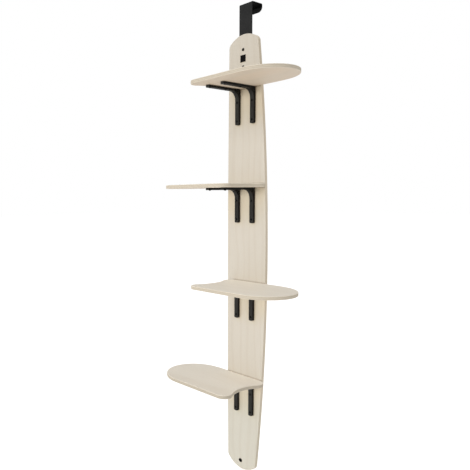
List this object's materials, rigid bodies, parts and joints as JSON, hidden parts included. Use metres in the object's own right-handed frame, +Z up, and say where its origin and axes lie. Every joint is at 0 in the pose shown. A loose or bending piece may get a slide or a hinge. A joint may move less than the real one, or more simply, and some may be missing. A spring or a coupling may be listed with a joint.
{
  "type": "door hanging cat tree",
  "caption": "Tall wooden back board with rounded cat shelves on black brackets, hung over the top of a door by a flat black steel hook.",
  "frame": {"origin": "middle of the face with which the lined hook rests on the door's top edge", "axes": "+Z up, +X to the right seen from the front, +Y towards the door"},
  "size_m": [0.611, 0.349, 2.017],
  "materials": {
    "board_wood": "satin",
    "shelf_wood": "satin",
    "bracket_black": "matte",
    "hook_black": "satin",
    "screw_black": "satin",
    "plain_steel": "satin",
    "soft_liner": "matte",
    "badge_black": "matte",
    "eyelet_black": "matte"
  },
  "bodies": {
    "root": {"board_upper": "board_wood", "board_middle": "board_wood", "board_lower": "board_wood", "shelf_1": "shelf_wood", "shelf_2": "shelf_wood", "shelf_3": "shelf_wood", "shelf_4": "shelf_wood", "bracket_1_left": "bracket_black", "bracket_1_right": "bracket_black", "bracket_2_left": "bracket_black", "bracket_2_right": "bracket_black", "bracket_3_left": "bracket_black", "bracket_3_right": "bracket_black", "bracket_4_left": "bracket_black", "bracket_4_right": "bracket_black", "shelf_screws_1": "screw_black", "shelf_screws_2": "screw_black", "shelf_screws_3": "screw_black", "shelf_screws_4": "screw_black", "board_screws_1": "screw_black", "board_screws_2": "screw_black", "board_screws_3": "screw_black", "board_screws_4": "screw_black", "joining_plate_upper": "plain_steel", "joining_plate_lower": "plain_steel", "joining_plate_screws": "plain_steel", "door_hook": "hook_black", "hook_liner": "soft_liner", "hook_bolts": "screw_black", "hook_nuts": "plain_steel", "badge_plate": "badge_black", "foot_eyelet": "eyelet_black", "board_pads": "soft_liner"}
  },
  "joints": []
}
